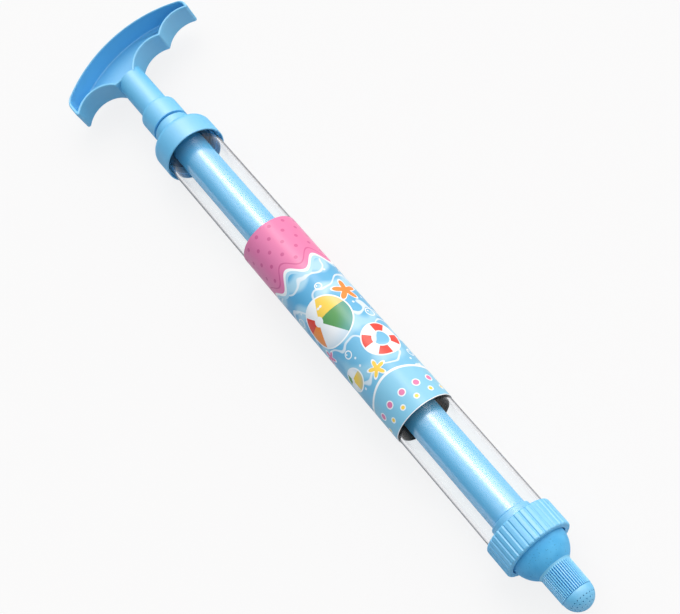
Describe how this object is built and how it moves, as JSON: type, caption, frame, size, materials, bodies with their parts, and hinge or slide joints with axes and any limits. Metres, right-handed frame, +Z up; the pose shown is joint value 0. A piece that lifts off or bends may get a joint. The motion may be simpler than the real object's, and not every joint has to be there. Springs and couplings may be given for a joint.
{
  "type": "water squirter",
  "caption": "Pull-and-push water squirter: clear barrel with a printed sleeve, blue plunger with a scalloped tray handle, ribbed collar and a turning spray nozzle.",
  "frame": {"origin": "under the middle of the object's box, on the surface that the squirter lies on", "axes": "+X along the barrel's axis towards the nozzle, +Z up, the way the handle's tray opens, +Y towards the longer arm of the handle"},
  "size_m": [0.5192, 0.1106, 0.0448],
  "materials": {
    "clear_plastic": "clear, polished",
    "printed_film": "glossy printed film, dark on the inside",
    "blue_gloss": "glossy injection moulded",
    "blue_matt": "fine speckled moulded",
    "black_rubber": "moulded",
    "white_plastic": "moulded",
    "plated_steel": "zinc plated"
  },
  "bodies": {
    "barrel": {"barrel_tube": "clear_plastic", "label_sleeve": "printed_film", "rear_cap": "blue_gloss", "rod_guide": "blue_gloss", "front_collar": "blue_gloss", "front_gasket": "black_rubber", "nozzle_dome": "blue_matt", "nozzle_o_ring": "black_rubber"},
    "seals": {"piston_seal_rear": "black_rubber", "piston_seal_front": "black_rubber"},
    "plunger": {"plunger_tube": "blue_gloss", "rod_plug": "blue_gloss", "piston_head": "white_plastic", "piston_screw": "plated_steel", "handle": "blue_gloss"},
    "nozzle": {"nozzle_sleeve": "blue_matt", "spray_tip": "blue_matt"}
  },
  "joints": [
    {"name": "plunger_slide", "type": "slide", "parent": "barrel", "child": "seals", "axis": [-1, 0, 0], "range_m": [0, 0.34]},
    {"name": "plunger_spin", "type": "hinge", "parent": "seals", "child": "plunger", "pos_m": [0, -0.0097, 0.02241], "axis": [1, 0, 0], "continuous": true},
    {"name": "nozzle_twist", "type": "hinge", "parent": "barrel", "child": "nozzle", "pos_m": [0.24, -0.0097, 0.02241], "axis": [1, 0, 0], "range_deg": [0, 180]}
  ]
}
